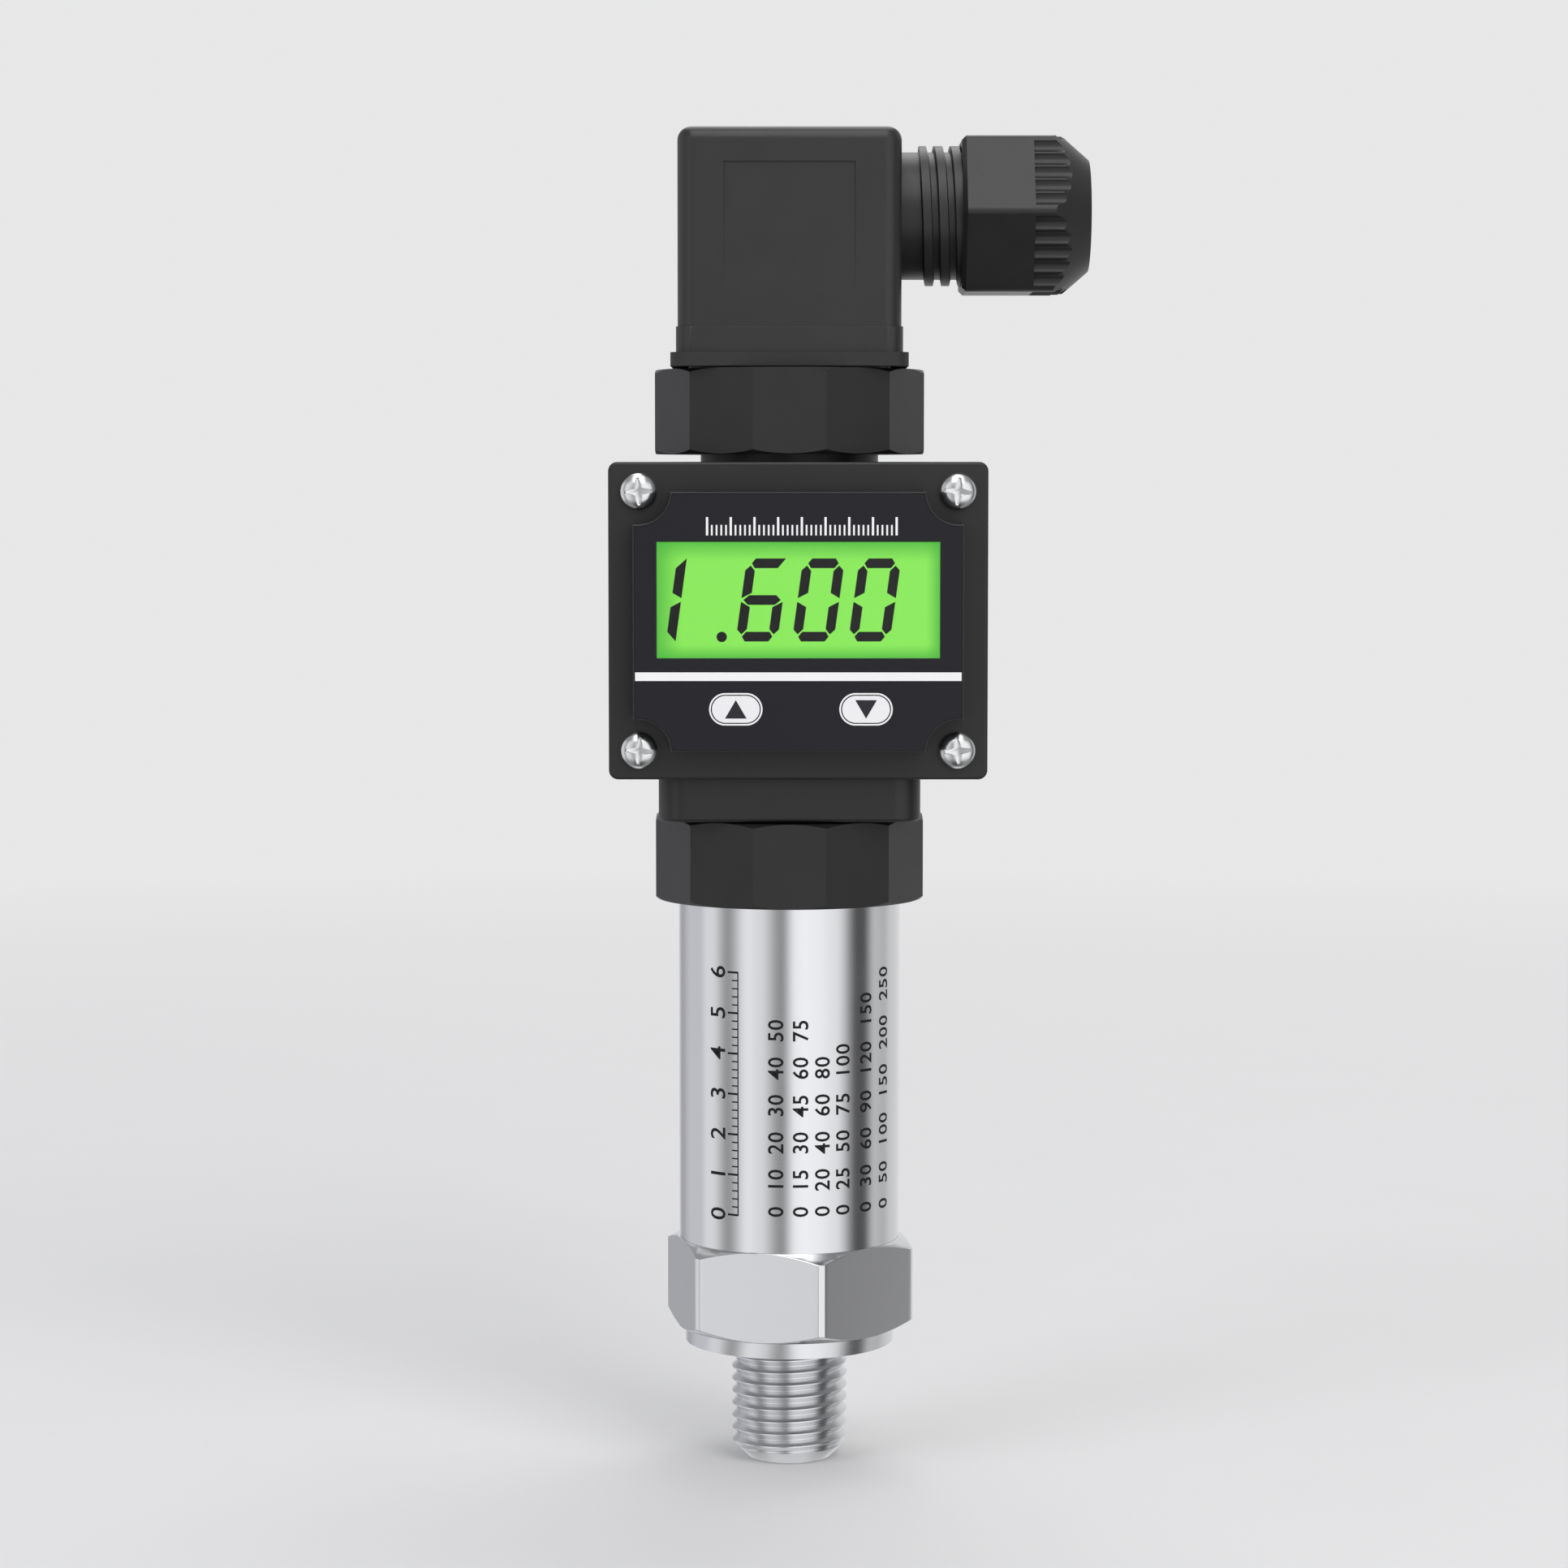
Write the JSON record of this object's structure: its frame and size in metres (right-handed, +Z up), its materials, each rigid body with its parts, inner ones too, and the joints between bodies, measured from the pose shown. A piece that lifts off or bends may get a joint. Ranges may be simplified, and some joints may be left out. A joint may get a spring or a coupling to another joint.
{
  "type": "pressure transmitter",
  "caption": "Pressure transmitter with a threaded steel port, a steel tube, a plug-in digital display with two keys and an angled cable plug.",
  "frame": {"origin": "on the body's axis at the sealing face under the collar, where the port's thread starts", "axes": "+Z up along the body towards the cable plug, -Y towards the reader of the display, +X along the cable gland"},
  "size_m": [0.0567, 0.0396, 0.1599],
  "materials": {
    "turned_steel": "fine turned stainless steel",
    "brushed_tube": "brushed along the tube's round",
    "sensor_steel": "plain steel",
    "black_rubber": "matt black rubber",
    "seal_rubber": "matt black rubber",
    "board_green": "lacquered circuit board",
    "base_nylon": "black glass-filled nylon, slight sheen",
    "housing_plastic": "black moulded plastic, fine spark-eroded grain",
    "plug_nylon": "black moulded nylon, fine grain",
    "gland_nylon": "dark grey moulded nylon",
    "block_nylon": "black nylon",
    "brass": "turned brass",
    "tinned_brass": "tin-plated brass",
    "screw_steel": "bright plated steel",
    "printed_film": "dark printed polyester film",
    "clear_pane": "clear acrylic",
    "lcd_green": "lit green liquid-crystal panel",
    "light_guide": "milky light guide",
    "key_white": "white printed key",
    "switch_black": "black switch body"
  },
  "bodies": {
    "transmitter": {"process_fitting": "turned_steel", "body_tube": "brushed_tube", "sensor_cell": "sensor_steel", "sensor_retainer": "sensor_steel", "sensor_o_ring": "black_rubber", "lower_gasket": "black_rubber", "lid_gasket": "black_rubber", "plug_gasket": "black_rubber", "sensor_board": "board_green", "amplifier_board": "board_green", "display_board": "board_green", "lower_contact_base": "base_nylon", "upper_contact_base": "base_nylon", "display_housing": "housing_plastic", "display_lid": "housing_plastic", "display_contact_block": "block_nylon", "lower_insert": "brass", "upper_insert": "brass", "lower_blade_1": "tinned_brass", "lower_blade_2": "tinned_brass", "lower_blade_3": "tinned_brass", "lower_blade_4": "tinned_brass", "upper_blade_1": "tinned_brass", "upper_blade_2": "tinned_brass", "upper_blade_3": "tinned_brass", "upper_blade_4": "tinned_brass", "display_socket_1": "tinned_brass", "display_socket_2": "tinned_brass", "display_socket_3": "tinned_brass", "display_socket_4": "tinned_brass", "lid_screw_1": "screw_steel", "lid_screw_2": "screw_steel", "lid_screw_3": "screw_steel", "lid_screw_4": "screw_steel", "display_block_screw": "screw_steel", "face_film": "printed_film", "display_window": "clear_pane", "lcd_panel": "lcd_green", "lcd_backlight": "light_guide", "up_switch": "switch_black", "down_switch": "switch_black"},
    "up_key": {"up_key": "key_white", "up_switch_plunger": "switch_black"},
    "down_key": {"down_key": "key_white", "down_switch_plunger": "switch_black"},
    "cable_plug": {"plug_housing": "plug_nylon", "plug_contact_block": "block_nylon", "plug_screw": "screw_steel", "plug_screw_washer": "black_rubber", "gland_seal": "seal_rubber", "plug_socket_1": "tinned_brass", "plug_socket_2": "tinned_brass", "plug_socket_3": "tinned_brass", "plug_socket_4": "tinned_brass"},
    "gland_washer": {"gland_washer": "gland_nylon"},
    "gland_nut": {"gland_nut": "gland_nylon"}
  },
  "joints": [
    {"name": "up_key_press", "type": "slide", "parent": "transmitter", "child": "up_key", "axis": [0, 1, 0], "range_m": [0, 0.0003], "stiffness_N_per_m": 3000},
    {"name": "down_key_press", "type": "slide", "parent": "transmitter", "child": "down_key", "axis": [0, 1, 0], "range_m": [0, 0.0003], "stiffness_N_per_m": 3000},
    {"name": "plug_pull", "type": "slide", "parent": "transmitter", "child": "cable_plug", "axis": [0, 0, 1], "range_m": [0, 0.02]},
    {"name": "gland_washer_slide", "type": "slide", "parent": "cable_plug", "child": "gland_washer", "axis": [1, 0, 0], "range_m": [0, 0.006]},
    {"name": "gland_nut_turn", "type": "hinge", "parent": "gland_washer", "child": "gland_nut", "pos_m": [0.0302, 0, 0.13575], "axis": [1, 0, 0], "range_deg": [0, 1080]}
  ],
  "couplings": [
    {"joint": "gland_washer_slide", "follows": "gland_nut_turn", "m_per_rad": 0.00031035}
  ]
}
